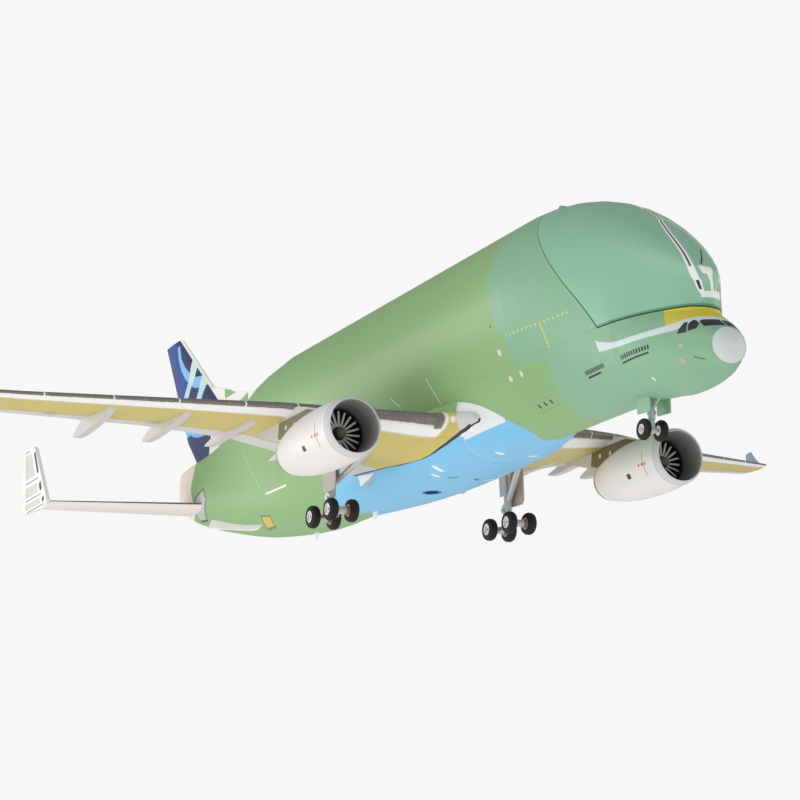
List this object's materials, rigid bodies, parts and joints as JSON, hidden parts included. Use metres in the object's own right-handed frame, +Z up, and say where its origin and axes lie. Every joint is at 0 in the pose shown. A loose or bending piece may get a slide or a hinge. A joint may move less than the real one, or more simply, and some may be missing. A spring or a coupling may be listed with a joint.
{
  "type": "desktop airliner model",
  "caption": "Desktop model of an outsize-cargo twin-engine aircraft with a whale-like hump, an upward-opening cargo door, turning fans and rolling landing gear.",
  "frame": {"origin": "under the middle of the overall length and span, on the plane the wheels stand on", "axes": "+X forward to the nose, +Y to port, +Z up"},
  "size_m": [0.3154, 0.3014, 0.0945],
  "materials": {
    "axle_steel": "drawn",
    "belly_blue": "satin enamel",
    "body_green": "satin enamel",
    "brake": "turned",
    "deck": "matt",
    "engine_dark": "matt black",
    "fan_blades": "bare",
    "fin_blue": "satin enamel",
    "gear_grey": "satin grey",
    "grey_trim": "satin",
    "hinge_steel": "brushed",
    "hub": "satin",
    "nacelle_white": "gloss enamel",
    "socket": "moulded",
    "trim_white": "satin enamel",
    "tyre": "matt",
    "wing_paint": "satin enamel over white"
  },
  "bodies": {
    "fuselage": {"fuselage_upper": "body_green", "fuselage_tail": "body_green", "torque_links": "gear_grey", "fuselage_lower": "body_green", "cargo_floor": "deck", "door_hinge_bracket": "hinge_steel", "door_hinge_pin": "hinge_steel", "stand_socket": "socket", "belly_fairing": "belly_blue", "ventral_strakes": "trim_white", "antennas": "trim_white", "tail_fin": "fin_blue", "bay_doors": "gear_grey", "nose_leg": "gear_grey", "nose_brace": "gear_grey", "nose_gear_doors": "body_green", "wing_left": "wing_paint", "flap_fairings_left": "grey_trim", "nacelle_left": "nacelle_white", "engine_core_left": "engine_dark", "pylon_left": "grey_trim", "tailplane_left": "trim_white", "tip_fin_left": "trim_white", "main_strut_left": "gear_grey", "side_brace_left": "gear_grey", "main_gear_door_left": "gear_grey", "wing_right": "wing_paint", "flap_fairings_right": "grey_trim", "nacelle_right": "nacelle_white", "engine_core_right": "engine_dark", "pylon_right": "grey_trim", "tailplane_right": "trim_white", "tip_fin_right": "trim_white", "main_strut_right": "gear_grey", "side_brace_right": "gear_grey", "main_gear_door_right": "gear_grey"},
    "cargo_door": {"cargo_door": "body_green", "door_hinge_lugs": "hinge_steel"},
    "nose_steering": {"nose_fork": "gear_grey"},
    "nose_wheels": {"nose_tyres": "tyre", "nose_hubs": "hub", "nose_axle": "axle_steel"},
    "fan_left": {"fan_left": "fan_blades"},
    "bogie_left": {"bogie_beam_left": "gear_grey", "brake_discs_left": "brake"},
    "wheels_left_front": {"tyres_left_front": "tyre", "hubs_left_front": "hub", "axle_left_front": "axle_steel"},
    "wheels_left_rear": {"tyres_left_rear": "tyre", "hubs_left_rear": "hub", "axle_left_rear": "axle_steel"},
    "fan_right": {"fan_right": "fan_blades"},
    "bogie_right": {"bogie_beam_right": "gear_grey", "brake_discs_right": "brake"},
    "wheels_right_front": {"tyres_right_front": "tyre", "hubs_right_front": "hub", "axle_right_front": "axle_steel"},
    "wheels_right_rear": {"tyres_right_rear": "tyre", "hubs_right_rear": "hub", "axle_right_rear": "axle_steel"}
  },
  "joints": [
    {"name": "door_hinge", "type": "hinge", "parent": "fuselage", "child": "cargo_door", "pos_m": [0.0983, 0, 0.0626], "axis": [0, -1, 0], "range_deg": [0, 95]},
    {"name": "nose_steering", "type": "hinge", "parent": "fuselage", "child": "nose_steering", "pos_m": [0.1239, 0, 0.0025], "axis": [0, 0, 1], "range_deg": [-60, 60]},
    {"name": "nose_wheels_spin", "type": "hinge", "parent": "nose_steering", "child": "nose_wheels", "pos_m": [0.1239, 0, 0.0025], "axis": [0, 1, 0], "continuous": true},
    {"name": "fan_left_spin", "type": "hinge", "parent": "fuselage", "child": "fan_left", "pos_m": [0.0583, 0.04685, 0.0127], "axis": [1, 0, 0], "continuous": true},
    {"name": "bogie_left_tilt", "type": "hinge", "parent": "fuselage", "child": "bogie_left", "pos_m": [0.0139, 0.0267, 0.003], "axis": [0, 1, 0], "range_deg": [-12, 12]},
    {"name": "wheels_left_front_spin", "type": "hinge", "parent": "bogie_left", "child": "wheels_left_front", "pos_m": [0.01915, 0.0267, 0.003], "axis": [0, 1, 0], "continuous": true},
    {"name": "wheels_left_rear_spin", "type": "hinge", "parent": "bogie_left", "child": "wheels_left_rear", "pos_m": [0.00865, 0.0267, 0.003], "axis": [0, 1, 0], "continuous": true},
    {"name": "fan_right_spin", "type": "hinge", "parent": "fuselage", "child": "fan_right", "pos_m": [0.0583, -0.04685, 0.0127], "axis": [1, 0, 0], "continuous": true},
    {"name": "bogie_right_tilt", "type": "hinge", "parent": "fuselage", "child": "bogie_right", "pos_m": [0.0139, -0.0267, 0.003], "axis": [0, 1, 0], "range_deg": [-12, 12]},
    {"name": "wheels_right_front_spin", "type": "hinge", "parent": "bogie_right", "child": "wheels_right_front", "pos_m": [0.01915, -0.0267, 0.003], "axis": [0, 1, 0], "continuous": true},
    {"name": "wheels_right_rear_spin", "type": "hinge", "parent": "bogie_right", "child": "wheels_right_rear", "pos_m": [0.00865, -0.0267, 0.003], "axis": [0, 1, 0], "continuous": true}
  ]
}
